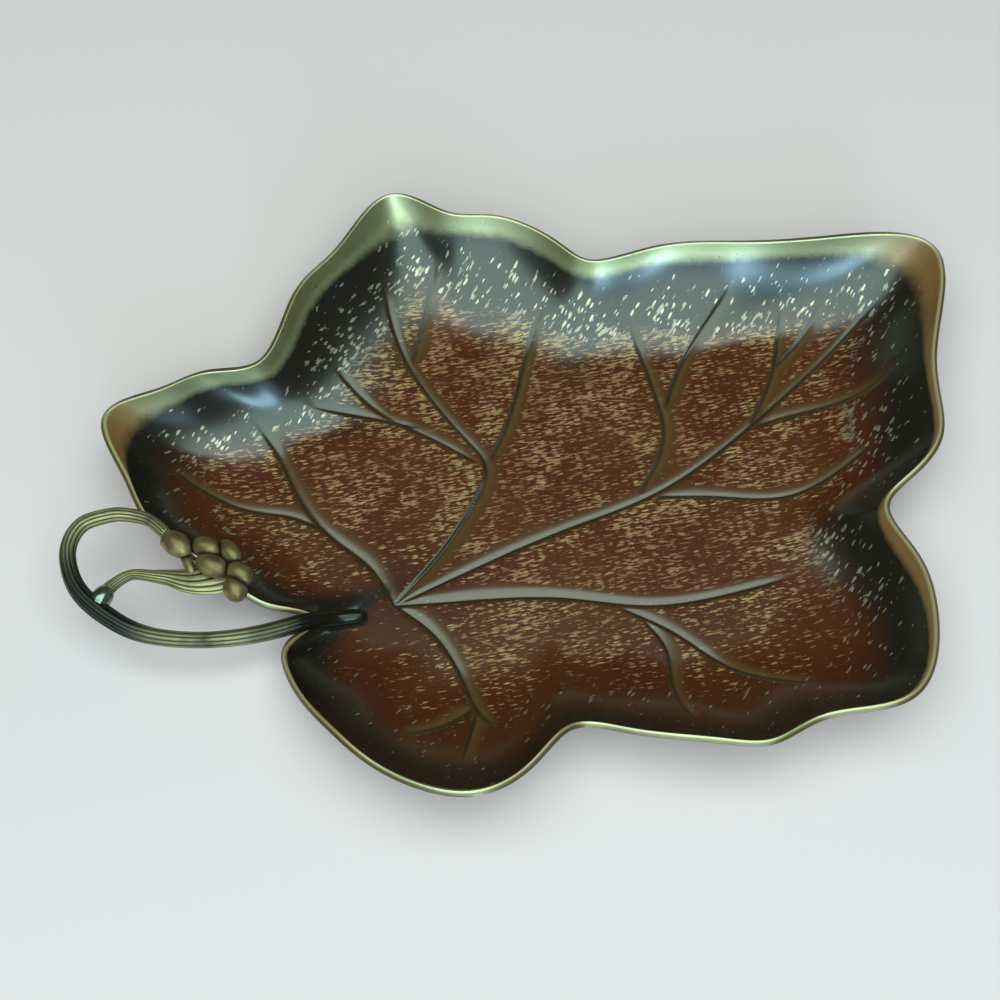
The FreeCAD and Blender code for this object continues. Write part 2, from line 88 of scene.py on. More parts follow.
# Rim of the leaf, counterclockwise from the notch: kind of place, x, y
OUTLINE = [
    ("notch", -16.2, -4.9), ("lip", -21.0, -11.2), ("foot", -21.6, -16.2), ("root", -17.3, -25.8),
    ("side", -10.1, -35.0), ("side", -0.9, -42.6), ("tip", 15.5, -48.2), ("side", 27.3, -42.6),
    ("near", 34.7, -34.3), ("sinus", 40.4, -32.4), ("near", 49.9, -34.6), ("side", 65.1, -36.8),
    ("side", 75.7, -36.9), ("side", 86.5, -31.6), ("tip", 104.0, -27.2), ("side", 109.9, -7.1),
    ("near", 107.0, 6.0), ("sinus", 103.2, 17.1), ("near", 109.8, 24.8), ("side", 116.2, 34.1),
    ("side", 117.0, 54.0), ("tip", 119.9, 82.3), ("side", 96.9, 85.3), ("side", 77.0, 84.0),
    ("near", 58.5, 83.7), ("sinus", 42.6, 80.6), ("near", 34.3, 85.5), ("side", 21.0, 91.5),
    ("side", 9.7, 92.6), ("tip", -3.0, 97.0), ("side", -14.2, 82.6), ("side", -23.0, 70.3),
    ("sinus", -30.3, 53.1), ("near", -42.1, 49.2), ("side", -51.7, 43.8), ("tip", -61.9, 37.2),
    ("side", -56.7, 23.6), ("near", -50.2, 12.0), ("root", -40.0, 5.0), ("foot", -28.0, -2.3),
    ("lip", -21.6, -3.1),
]
NOTCH = np.array([*OUTLINE[0][1:], 0.0])
TIPS = dict(zip(("bottom", "right", "apex", "top", "left"),
                [(x, y) for kind, x, y in OUTLINE if kind == "tip"]))

# Veins of each lobe, as shares of the way from the veins' meeting point to the lobe's tip, along it and
# to its left
MAIN_VEINS = [
    ("left", [(0, 0), (0.13, -0.07), (0.30, -0.10), (0.46, -0.17), (0.60, -0.26), (0.71, -0.30)]),
    ("top", [(0, 0), (0.12, -0.10), (0.23, -0.17), (0.34, -0.21), (0.43, -0.16), (0.64, -0.03),
             (0.83, 0.02)]),
    ("apex", [(0, 0), (0.24, -0.03), (0.40, -0.06), (0.54, -0.06), (0.78, -0.02), (0.93, 0.01)]),
    ("right", [(0, 0), (0.14, 0.05), (0.31, 0.10), (0.45, 0.12), (0.57, 0.16), (0.76, 0.27)]),
    ("bottom", [(0, 0), (0.16, 0.11), (0.39, 0.17), (0.59, 0.19), (0.68, 0.24)]),
]
SIDE_VEINS = [
    ("left", [(0.29, -0.10), (0.43, -0.09), (0.58, -0.03), (0.81, -0.01)]),
    ("top", [(0.35, -0.20), (0.43, -0.08), (0.49, 0.02), (0.61, 0.14)]),
    ("top", [(0.45, -0.07), (0.49, 0.07), (0.51, 0.21)]),
    ("top", [(0.62, -0.04), (0.77, -0.08), (0.88, -0.10)]),
    ("top", [(0.34, -0.21), (0.48, -0.27), (0.67, -0.32), (0.78, -0.36)]),
    ("apex", [(0.39, -0.06), (0.49, 0.00), (0.53, 0.07), (0.58, 0.22)]),
    ("apex", [(0.52, 0.04), (0.62, 0.11), (0.74, 0.15)]),
    ("apex", [(0.60, -0.06), (0.70, 0.00), (0.79, 0.09)]),
    ("apex", [(0.71, 0.01), (0.78, 0.03), (0.85, 0.06)]),
    ("apex", [(0.61, -0.05), (0.71, -0.08), (0.80, -0.11), (0.87, -0.10)]),
    ("apex", [(0.41, -0.06), (0.50, -0.12), (0.59, -0.18), (0.75, -0.19)]),
    ("right", [(0.41, 0.11), (0.55, 0.08), (0.68, 0.03), (0.84, 0.03)]),
    ("right", [(0.47, 0.10), (0.54, 0.04), (0.57, -0.04), (0.63, -0.12)]),
    ("bottom", [(0.55, 0.18), (0.60, 0.02), (0.60, -0.15)]),
    ("bottom", [(0.58, 0.18), (0.72, 0.10), (0.84, 0.03)]),
]
# Sizes of a vein: width of its smooth flank where it is widest and at its end, its depth at both, and the
# power that makes the flank hollow
MAIN_SIZES = {"left": (4.4, 2.0, 0.6, 0.3, 2.6), "top": (3.8, 1.8, 0.55, 0.25, 3.0),
              "apex": (4.2, 1.4, 0.5, 0.2, 3.0), "right": (4.4, 1.9, 0.85, 0.3, 2.6),
              "bottom": (4.2, 1.9, 0.65, 0.3, 3.0)}
SIDE_SIZE = (3.6, 1.6, 0.36, 0.2, 2.4)
# Share of its depth that a vein starts with
MAIN_START = 0.5
SIDE_START = 0.0
# Every vein's flank lies on this side of its crease, and its other side is a step this wide
FLANK_SIDE = np.array([0.6, 0.8])
STEP_WIDTH = 0.9
# A vein changes nothing further than this from its path's box
VEIN_REACH = 6.0
# A vein thins with this power of the way along it, and opens from this share of its width
VEIN_THINNING = 0.7
VEIN_OPENING = 0.4
# Shares of a vein's way where it has opened, where it has its depth, and where it starts to fade out
VEIN_OPENED = 0.25
VEIN_DEEPENED = 0.18
VEIN_FADING = 0.88
# Stretch from behind a vein's start to past it, over which the depth sets in
VEIN_ONSET = (-1.8, 0.4)
# Paint beside a crease: end of the flank's band and reach of the painted shade on its foot, in shares of the
# vein's width, then the two sides of the dark line of painted shade and the start of the painted glint on
# the step side, in millimetres from the crease
BAND_END = 1.25
FOOT_REACH = 0.75
LINE_ONSET = (-1.0, -0.3)
LINE_END = (0.5, -0.15)
GLINT_START = 2.0

# Gold flecks: their density is the product of these, each changing over a stretch of one value, from a first
# to a last density
FLECK_RULES = [
    ("way from the meeting point", (2.0, 24.0), 0.0, 1.0),
    ("y", (-35.0, 15.0), 0.7, 1.0),
    ("x", (-30.0, 12.0), 0.75, 1.0),
    ("x", (45.0, 80.0), 1.0, 0.88),
    ("way from the rim", (5.0, 13.0), 0.0, 1.0),
    ("vein_band", (0.2, 0.6), 1.0, 0.0),
    ("vein_shade", (0.45, 0.9), 1.0, 0.0),
    ("facing up", (0.7, 0.97), 0.4, 1.0),
    # Fewer flecks, and so darker bare lacquer, on walls that face away from the front: painted shade
    ("facing away", (-0.1, 0.25), 1.0, 0.35),
]
# Dust and dashes of gold on floor and wall: turn in degrees, length and breadth
LONG_DUST = (14.0, 3.1, 0.62)
SHORT_DUST = (8.0, 2.1, 0.46)
WALL_DUST = (52.0, 2.8, 0.9)
FLOOR_DASH = (12.0, 2.2, 0.46)
WALL_DASH = (55.0, 2.2, 0.75)
# Dust: noise level that it starts at, how far a full density lowers that, and its soft edge
DUST_LEVEL = 0.68
DUST_EASE = 0.15
DUST_EDGE = (0.0, 0.07)
# Dashes, in shares of their cells: wobble of the outline, spread and least of the size, soft edge
DASH_WOBBLE = (0.5, 0.6, 0.0)
DASH_SPREAD = 0.75
DASH_LEAST = 0.45
DASH_EDGE = (0.42, 0.24)

# Handle: heights of the stem's centre over the notch and of the buds
SADDLE = 8.02
CLUSTER = 17.0
# Tongue on the leaf: x and y from the notch. It lies on the leaf from a little right of the notch
TONGUE_START = 1.0
TONGUE_PATH = [(10.5, 1.8), (9.6, 1.8), (7.9, 1.7), (4.0, 1.0), (0.6, -0.3)]
# Stem: x and y from the notch, share of the climb to the buds, thickness from 0 at the loop's end to 1 at
# the fork, and how far the patina is worn off
STEM_PATH = [
    (-3.4, -2.4, 0.0, 0.75, 0.1), (-9.1, -4.6, 0.1, 0.7, 0.35), (-15.0, -6.3, 0.2, 0.62, 0.6),
    (-23.0, -7.4, 0.3, 0.5, 0.7), (-32.1, -7.0, 0.39, 0.62, 0.4), (-38.3, -5.1, 0.46, 0.85, 0.05),
    (-44.1, -1.4, 0.52, 1.0, 0.0), (-48.5, 2.8, 0.6, 0.8, 0.1), (-50.9, 8.2, 0.69, 0.62, 0.2),
    (-51.1, 12.5, 0.78, 0.55, 0.3), (-48.8, 16.6, 0.87, 0.5, 0.6), (-45.1, 18.1, 0.93, 0.42, 0.85),
    (-41.3, 18.6, 0.98, 0.33, 1.0), (-37.0, 18.0, 1.0, 0.22, 1.0), (-34.0, 16.8, 1.0, 0.1, 0.9),
    (-30.3, 13.4, 1.0, 0.0, 0.7),
]
# Branch: x and y from the notch, share of the climb from the fork to the fan, and of the fan's spread
BRANCH_PATH = [
    (-44.7, 0.0, 0.0, 0.0), (-42.7, 2.7, 0.1, 0.0), (-40.3, 4.9, 0.25, 0.0), (-37.6, 6.1, 0.45, 0.0),
    (-33.8, 5.6, 0.7, 0.05), (-29.5, 4.9, 0.9, 0.2), (-25.3, 4.2, 1.0, 0.5), (-21.5, 5.0, 1.0, 0.85),
    (-17.9, 6.3, 1.0, 1.0),
]
# Sizes of stem and tongue, and the height of the tongue's centre over the leaf
STEM_FORK_RADIUS = 2.12
STEM_END_RADIUS = 1.26
TONGUE_RADIUS = 1.62
TONGUE_TIP_RADIUS = 1.0
TONGUE_LIFT = 1.0
# Thickness of the solder under the tongue
SOLDER = 0.3
# The tongue's end is this many times as long as a round end
TONGUE_TAPER = 2.2
# Share of a bar's size that its reeds are cut in, and the reeds round the stem
REED_DEPTH = 0.11
STEM_REEDS = 11
# Size of the branch
BRANCH_RADIUS = 1.12
# What the branch's first points are thicker by
BRANCH_FLARE = (0.6, 0.4, 0.15)
# Wear at the branch's root, and the share of the climb by which it is worn all over
BRANCH_WEAR = 0.2
BRANCH_WORN_BY = 0.5
# Fan under the buds, its drop below them, the fork's share of the stem's climb, reeds
FAN_HALF_WIDTH = 4.8
FAN_HALF_HEIGHT = 0.84
FAN_DROP = 2.2
FORK_CLIMB = 0.53
BRANCH_REEDS = 14

# Braze, stalk and buds: name, x and y from the notch, height over the cluster's, heading in degrees,
# length, width, height of the collar at the root
OVALS = [
    ("fork_braze", -43.6, 1.0, -4.1, 62.0, 6.4, 4.4, 0.0),
    ("bud_stalk", -25.9, 7.8, -1.3, 118.0, 5.4, 2.4, 0.0),
    ("end_bud", -28.4, 11.5, 0.0, -35.0, 7.2, 5.1, 0.3),
    ("bud_middle", -20.7, 6.4, 0.2, -25.0, 7.2, 4.6, 0.1),
    ("bud_lower", -15.6, 1.3, -0.5, -60.0, 5.6, 4.9, 0.1),
    ("bud_upper_left", -22.0, 10.6, 0.2, -20.0, 6.4, 4.4, 0.1),
    ("bud_right", -14.8, 4.5, 0.3, -35.0, 6.0, 4.4, 0.1),
    ("bud_upper_right", -17.2, 9.6, 0.1, -50.0, 6.2, 3.8, 0.1),
]

# Shape of the ovals: power that fills out their ends, place and width of the collar in shares of the half
# length, and the reach of the painted shade in the gap round each in shares of its half axes
OVAL_FULLNESS = 0.9
COLLAR_PLACE = -0.78
COLLAR_WIDTH = 0.1
GAP_SHADE_REACH = 1.45

# Mesh resolution: columns round the leaf, and rows over floor, wall, rim, wall underneath, floor underneath
COLUMNS = 1148
FLOOR_ROWS = 112
WALL_ROWS = 72
RIM_ROWS = 5
UNDER_WALL_ROWS = 24
UNDER_FLOOR_ROWS = 20
# Rows of the rounded edge that are polished, from the inside
BRIGHT_ROWS = 2
# Rings along the bars and points round each ring, then the rows and columns of an oval
STEM_RINGS = 300
STEM_AROUND = 88
BRANCH_RINGS = 140
BRANCH_AROUND = 112
OVAL_ROWS = 36
OVAL_COLUMNS = 40
# Points along a vein, and steps per given point when a path is measured
VEIN_POINTS = 90
PATH_STEPS = 40
# Share of its size that a bar's end ring keeps
BAR_END = 0.02

# Coarseness of the clouds, patches, grain and specks in the finishes
LACQUER_CLOUDS = 26.0
LACQUER_PATCHES = 9.0
LACQUER_FINE = 2.2
RIM_SPECKS = 0.9
STEM_CLOUDS = 7.0
STEM_FINE = 1.2
METAL_MOTTLE = 2.6
# Colours of the leaf, as they show on screen, from 0 to 255
LACQUER_RED = (94, 32, 8)
LACQUER_BROWN = (100, 46, 10)
LACQUER_GRAIN = (48, 21, 6)
LACQUER_BARE = (50, 19, 6)
SPRAY_BLACK = (17, 21, 17)
GOLD_DULL = (158, 102, 66)
GOLD_BRIGHT = (224, 172, 126)
# Brighter gold on the flecks beside a vein's step: a painted glint
GOLD_PAINTED_GLINT = (232, 202, 132)
GOLD_STEEP = (198, 188, 166)
# Smooth fleckless flank of a vein, made paler as a painted highlight of the lit flank
FLANK_TAUPE_AND_HIGHLIGHT = (108, 80, 44)
# Painted shade on the foot beside a vein's crease
FOOT_PAINTED_SHADE = (36, 19, 10)
# Dark line along a vein's crease: painted shade
CREASE_PAINTED_SHADE = (24, 13, 6)
RIM_PALE = (184, 182, 138)
RIM_DULL = (174, 170, 122)
RIM_COPPER = (164, 104, 58)
RIM_SPECK = (60, 46, 28)
# Pale cream along the rim's very edge: a painted highlight
RIM_EDGE_HIGHLIGHT = (200, 184, 138)
UNDER_PALE = (122, 98, 60)
UNDER_DULL = (96, 72, 42)
# Colours of the handle and the buds
GROOVE_BLACK = (20, 19, 12)
CREST_BROWN = (66, 59, 36)
WORN_DULL = (158, 142, 98)
WORN_BRIGHT = (200, 180, 130)
PATINA_BLACK = (9, 10, 9)
BUD_PALE = (158, 140, 96)
BUD_DULL = (108, 90, 56)
BUD_TOP = (104, 74, 42)
# Painted shade in the gaps between the buds
BUD_GAP_SHADE = (24, 21, 13)
BRAZE_PALE = (150, 158, 152)
BRAZE_DARK = (64, 68, 62)
SOLDER_DARK = (24, 24, 22)
SOLDER_PALE = (40, 38, 32)
# Finish of the lacquer: noise levels over which red turns to brown, cover of the grain and of bare lacquer,
# unevenness of the spray, shares of its reach over which it fades, and its cover
LACQUER_TURN = (0.35, 0.65)
GRAIN_COVER = 0.4
BARE_COVER = 0.45
SPRAY_UNEVENNESS = 0.3
SPRAY_FADE = (1.15, 0.5)
SPRAY_COVER = 0.94
# Finish of the flecks: noise levels of their clusters, density that clusters add and density all over, share
# of the dashes, cover of the dust and of all flecks, noise levels of their tone, and what these count for
CLUSTER_TURN = (0.36, 0.62)
CLUSTER_SHARES = (0.4, 0.6)
DASH_SHARE = 0.5
DUST_COVER = 0.65
FLECK_COVER = 0.9
TONE_TURN = (0.4, 0.65)
TONE_SHARE = 0.5
# Cover of the painted glint on the flecks beside veins and of the pale gold on the wall, and how far the
# leaf faces up where its floor turns to wall
GLINT_COVER = 0.4
STEEP_COVER = 0.8
STEEP_TURN = (0.97, 0.9)
# Cover of the veins' flank, paler partly as painted highlight, how far the spray changes that, and cover of
# the painted shade on their foot and crease
FLANK_COVER = 0.55
FLANK_CHANGE = -0.35
FOOT_COVER = 0.5
CREASE_COVER = 0.62
# Finish of the rim: noise levels of its tone and its specks, cover of specks and copper, way from the edge
# over which the painted cream highlight sets in, its cover that copper adds and its cover all over,
# unevenness and fade of polish
RIM_TURN = (0.4, 0.7)
SPECK_TURN = (0.70, 0.76)
SPECK_COVER = 0.7
COPPER_COVER = 0.85
EDGE_HIGHLIGHT_TURN = (0.9, 0.3)
EDGE_HIGHLIGHT_SHARES = (0.6, 0.15)
RIM_UNEVENNESS = 0.3
RIM_FADE = (1.4, 0.7)
# Dullness of the underside, and metal of the rim and the flecks: what dullness or a steep wall adds to it,
# and how much there is without
UNDER_DULLNESS = 0.6
RIM_METAL = (-0.5, 0.9)
FLECK_METAL = (0.4, 0.45)
# Finish of the stem: reed heights from groove to crest, noise levels of the wear, wear over which it turns
# black, cover of the black, and metal where it is worn
CREST_TURN = (0.45, 0.95)
WORN_TURN = (0.2, 0.6)
BLACK_TURN = (0.4, 0.05)
BLACK_COVER = 0.88
WORN_METAL = 0.7
# Finish of the buds and joints: noise levels of their mottle, share of its half height where a bud turns
# brown on top, cover of the brown and of the painted shade in the gaps, metal
BUD_TURN = (0.36, 0.68)
JOINT_TURN = (0.38, 0.68)
TOP_TURN = (0.35, 1.0)
TOP_COVER = 0.6
GAP_SHADE_COVER = 0.92
BUD_METAL = 0.55
BRAZE_METAL = 0.9
SOLDER_METAL = 0.4
# Roughness, where it varies from its smooth spots to its rough ones
LACQUER_ROUGHNESS = 0.36
RIM_ROUGHNESS = (0.28, 0.44)
STEM_ROUGHNESS = (0.3, 0.46)
BLACK_ROUGHNESS = 0.22
BUD_ROUGHNESS = (0.3, 0.52)
BRAZE_ROUGHNESS = (0.12, 0.3)
SOLDER_ROUGHNESS = (0.32, 0.5)

# Stage in metres: floor, and colours of the light
FLOOR_REACH = 12.0
FLOOR_COLOUR = (0.92, 0.685, 0.725, 1.0)
FLOOR_ROUGHNESS = 0.9
GREEN_LIGHT = (0.69, 1.0, 0.92)
SKY_LIGHT = (0.45, 0.78, 1.0)
WORLD_LIGHT = (1.0, 0.84, 0.64, 1.0)
WORLD_STRENGTH = 0.07
# Lamps: name, place, point that it is turned to, width and height, brightness per area, colour
LAMPS = [
    ("softbox", (0.03, -0.65, 1.0), (0.03, -0.61, 0.0), (1.4, 1.9), 2.65, GREEN_LIGHT),
    ("sky_strip", (0.03, -1.27, 0.6), (0.03, 0.03, 0.01), (2.2, 0.3), 1.1, SKY_LIGHT),
    ("front_fill", (0.03, -1.35, 0.26), (0.03, 0.03, 0.01), (2.2, 0.46), 0.6, GREEN_LIGHT),
    ("window", (0.35, -1.1, 0.42), (0.03, 0.03, 0.0), (0.24, 0.32), 13.0, SKY_LIGHT),
]
# Camera: place, turn up from straight down in degrees, lens and sensor in millimetres, nearest distance
CAMERA_PLACE = (0.022226, -0.178251, 0.355393)
CAMERA_TILT = 30.0
CAMERA_LENS = 67.18
CAMERA_SENSOR = 36.0
CAMERA_NEAREST = 0.01


def smoothstep(low, high, value):
    """Smooth rise from 0 to 1 as the value goes from low to high."""
    share = np.clip((value - low) / (high - low), 0.0, 1.0)
    return share * share * (3 - 2 * share)


def between(start, end, share):
    """Value at a share of the way from start to end."""
    return start + (end - start) * share


def unit(vectors):
    """Vectors of length 1 in the same directions."""
    return vectors / np.linalg.norm(vectors, axis=-1, keepdims=True)


def spline(points, knots, at, closed):
    """Cubic curve through the points, at the given parameters."""
    points = np.asarray(points, float)
    gaps = np.diff(knots)
    count = len(points)
    matrix = np.zeros((count, count))
    right = np.zeros_like(points)
    if closed:
        for i in range(count):
            before, after = gaps[i - 1], gaps[i]
            matrix[i, i - 1] += before
            matrix[i, i] += 2 * (before + after)
            matrix[i, (i + 1) % count] += after
            rise = (points[(i + 1) % count] - points[i]) / after
            right[i] = 6 * (rise - (points[i] - points[i - 1]) / before)
    else:
        matrix[0, 0] = 1
        matrix[-1, -1] = 1
        for i in range(1, count - 1):
            before, after = gaps[i - 1], gaps[i]
            matrix[i, i - 1:i + 2] = before, 2 * (before + after), after
            right[i] = 6 * ((points[i + 1] - points[i]) / after - (points[i] - points[i - 1]) / before)
    bends = np.linalg.solve(matrix, right)
    span = np.clip(np.searchsorted(knots, at, side="right") - 1, 0, len(gaps) - 1)
    gap = gaps[span][:, None]
    here = ((at - knots[span])[:, None]) / gap
    rest = 1 - here
    after = (span + 1) % count
    curve = rest * points[span] + here * points[after]
    sag = (rest ** 3 - rest) * bends[span] + (here ** 3 - here) * bends[after]
    return curve + sag * gap ** 2 / 6


def root_knots(points):
    """Parameters spaced by the root of the points' distances."""
    steps = np.linalg.norm(np.diff(points, axis=0), axis=1)
    return np.concatenate([[0.0], np.cumsum(np.sqrt(steps))])


def smooth_path(points, count):
    """Evenly spaced points on an open curve, with the share of each one's way along the given points."""
    points = np.asarray(points, float)
    knots = root_knots(points)
    fine = np.linspace(0, knots[-1], PATH_STEPS * len(points))
    curve = spline(points, knots, fine, False)
    way = np.concatenate([[0.0], np.cumsum(np.linalg.norm(np.diff(curve, axis=0), axis=1))])
    stops = np.interp(np.linspace(0, way[-1], count), way, fine)
    return spline(points, knots, stops, False), np.interp(stops, knots, np.arange(len(points)))


def rim_places():
    """Points of the rim in plan."""
    return np.array([(x, y, 0.0) for kind, x, y in OUTLINE])


def wall_stations():
    """Four poles of the wall's curve at each rim point, then its polish width, coppery share and spray."""
    places = rim_places()
    kinds = [kind for kind, x, y in OUTLINE]
    rise, run, polish = (np.array([table[kind] for kind in kinds])[:, None] for table in (RISE, RUN, POLISH))
    along = unit(np.roll(places, -1, axis=0) - np.roll(places, 1, axis=0))
    east, north = along[:, 1:2], -along[:, 0:1]
    polish = polish * between(POLISH_LEAST, 1.0, smoothstep(*POLISH_NORTH, north))
    left_side = smoothstep(*COPPER_WEST, east) * smoothstep(*COPPER_LEFT_Y, places[:, 1:2])
    low = np.array([[kind in ("notch", "lip")] for kind in kinds])
    warm = np.maximum(np.maximum(smoothstep(*COPPER_EAST, east), left_side), low)
    spray = between(SPRAY_NEAR, SPRAY_FAR, smoothstep(*SPRAY_NORTH, north))
    lean = unit(places - FLOOR_CENTRE)
    edge = places - lean * run + UP * FLOOR_TOP
    foot = edge + lean * run * WALL_FOOT
    knee = edge + lean * run * WALL_KNEE + UP * (rise - FLOOR_TOP) * WALL_KNEE_RISE
    rim = places + UP * rise
    return np.hstack([edge, foot, knee, rim, polish, warm, spray])


def leaf_grid():
    """Rows of points on the plain upper face, from the middle to the rim, with polish, copper and spray."""
    places = rim_places()
    knots = root_knots(np.vstack([places, places[:1]]))
    at = np.linspace(0, knots[-1], COLUMNS, endpoint=False)
    around = spline(wall_stations(), knots, at, True)
    poles = [around[:, 3 * k:3 * k + 3] for k in range(4)]
    rows = [between(FLOOR_MIDDLE, poles[0], k / FLOOR_ROWS) for k in range(1, FLOOR_ROWS)]
    for k in range(WALL_ROWS + 1):
        share = k / WALL_ROWS
        rest = 1 - share
        weights = rest ** 3, 3 * share * rest ** 2, 3 * share ** 2 * rest, share ** 3
        rows.append(sum(weight * pole for weight, pole in zip(weights, poles)))
    return np.array(rows), *around[:, 12:].T


def grid_normals(grid):
    """Upward normals of a grid that closes on itself along its columns."""
    along = np.roll(grid, -1, axis=1) - np.roll(grid, 1, axis=1)
    return unit(np.cross(np.gradient(grid, axis=0), along))


def vein_field(plan, lobe, shares, size, start_depth):
    """Points near a vein, their distance from its crease over its width there, its depth and its width."""
    tip = np.array(TIPS[lobe])
    across = np.array([-tip[1], tip[0]])
    path = smooth_path([tip * a + across * b for a, b in shares], VEIN_POINTS)[0]
    span = path[-1] - path[0]
    flank = 1.0 if np.array([-span[1], span[0]]) @ FLANK_SIDE > 0 else -1.0
    inside = (plan > path.min(axis=0) - VEIN_REACH) & (plan < path.max(axis=0) + VEIN_REACH)
    near = np.nonzero(inside.all(axis=1))[0]
    points = plan[near]
    best = np.full(len(points), np.inf)
    signed = np.zeros(len(points))
    way = np.zeros(len(points))
    steps = np.diff(path, axis=0)
    for k, (start, step) in enumerate(zip(path, steps)):
        offset = points - start
        share = np.clip(offset @ step / (step @ step), 0, 1)
        gap = offset - share[:, None] * step
        distance = np.hypot(gap[:, 0], gap[:, 1])
        nearer = distance < best
        best[nearer] = distance[nearer]
        side = np.sign(step[0] * offset[:, 1] - step[1] * offset[:, 0]) * flank
        signed[nearer] = (distance * side)[nearer]
        way[nearer] = ((k + share) / len(steps))[nearer]
    wide, narrow, deep, shallow, _ = size
    thinned = way ** VEIN_THINNING
    width = between(wide, narrow, thinned) * between(VEIN_OPENING, 1.0, smoothstep(0.0, VEIN_OPENED, way))
    depth = between(deep, shallow, thinned) * smoothstep(1.0, VEIN_FADING, way)
    depth = depth * between(start_depth, 1.0, smoothstep(0.0, VEIN_DEEPENED, way))
    past_start = (points - path[0]) @ unit(path[2] - path[0])
    depth = depth * smoothstep(*VEIN_ONSET, past_start)
    return near, signed / width, depth, width


def vein_drop(across, depth, width, power):
    """Depth of a vein's flank and of the step on its other side."""
    flank = np.clip(1 - across, 0, 1) ** power * (across >= 0)
    stepped = smoothstep(-STEP_WIDTH, 0.0, across * width) * (across < 0)
    return depth * (flank + stepped)


def press_veins(plan):
    """Depth of the veins at each point of the leaf, and the paint beside their creases, with its painted
    shade and highlight.
    """
    drop = np.zeros(len(plan))
    paint = {name: np.zeros(len(plan)) for name in ("vein_band", "vein_crease_shade", "vein_shade", "vein_painted_glint")}
    veins = [(lobe, shares, MAIN_SIZES[lobe], MAIN_START) for lobe, shares in MAIN_VEINS]
    veins += [(lobe, shares, SIDE_SIZE, SIDE_START) for lobe, shares in SIDE_VEINS]
    for lobe, shares, size, start_depth in veins:
        near, across, depth, width = vein_field(plan, lobe, shares, size, start_depth)
        shallow, power = size[3:]
        drop[near] = np.maximum(drop[near], vein_drop(across, depth, width, power))
        strength = np.clip(depth / shallow, 0, 1)
        offset = across * width
        # The band is the smooth flank, fleckless and paler as painted highlight; the foot and the crease
        # line get painted shade, and the step side a painted glint on its flecks
        marks = {
            "vein_band": np.clip(BAND_END - across, 0, 1) * (offset > -STEP_WIDTH),
            "vein_crease_shade": smoothstep(*LINE_ONSET, offset) * smoothstep(*LINE_END, offset),
            "vein_shade": smoothstep(-FOOT_REACH * width, 0.0, offset) * (offset <= 0),
            "vein_painted_glint": smoothstep(-VEIN_REACH, -GLINT_START, offset) * (offset < 0),
        }
        for name, mark in marks.items():
            paint[name][near] = np.maximum(paint[name][near], strength * mark)
    return drop, paint


def fleck_density(plan, rim_way, normals, paint):
    """Density of the gold flecks at each point of the upper face."""
    x, y = plan.T
    values = {"x": x, "y": y, "way from the meeting point": np.hypot(x, y),
              "way from the rim": rim_way.ravel(), "facing up": normals[:, :, 2].ravel(),
              "facing away": normals[:, :, 1].ravel(), **paint}
    density = np.ones(len(plan))
    for name, stretch, first, last in FLECK_RULES:
        density = density * between(first, last, smoothstep(*stretch, values[name]))
    return density


def new_mesh(name, vertices, faces):
    """Smooth piece on the dish's one body, from points in millimetres, kept in the solids' box."""
    mesh = bpy.data.meshes.new(name)
    points = np.clip(np.asarray(vertices) * MM, *CAD_BOX)
    mesh.from_pydata(points.tolist(), [], faces)
    mesh.update()
    mesh.shade_smooth()
    piece = bpy.data.objects.new(name, mesh)
    bpy.context.scene.collection.objects.link(piece)
    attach(piece, "root")
    return piece


def add_values(piece, name, values):
    """Number per vertex for a material to read."""
    layer = piece.data.attributes.new(name, "FLOAT", "POINT")
    layer.data.foreach_set("value", np.asarray(values, np.float32))


def grid_faces(rows, columns):
    """Quads of a grid of points counted row by row, whose columns close on themselves."""
    faces = []
    for r in range(rows - 1):
        for c in range(columns):
            d = (c + 1) % columns
            faces.append((r * columns + c, r * columns + d, (r + 1) * columns + d, (r + 1) * columns + c))
    return faces


def rim_rows(rim, under_rim):
    """Rows of the rounded edge between the rims of the upper and the lower face."""
    middle = (rim + under_rim) / 2
    half = (rim - under_rim) / 2
    outward = unit(np.cross(np.roll(rim, -1, axis=0) - np.roll(rim, 1, axis=0), half))
    rows = []
    for k in range(1, RIM_ROWS + 1):
        angle = math.pi * k / (RIM_ROWS + 1)
        rows.append(middle + half * math.cos(angle) + outward * (RIM_BULGE * math.sin(angle)))
    return np.array(rows)


def under_rows(below):
    """Some of the lower face's rows, from the rim to the floor's middle."""
    wall = below[FLOOR_ROWS - 1:][::-1]
    floor = below[:FLOOR_ROWS - 1][::-1]
    wall_picks = np.linspace(0, len(wall) - 1, UNDER_WALL_ROWS).astype(int)
    floor_picks = np.linspace(1, len(floor) - 1, UNDER_FLOOR_ROWS).astype(int)
    return np.concatenate([wall[wall_picks], floor[floor_picks]])


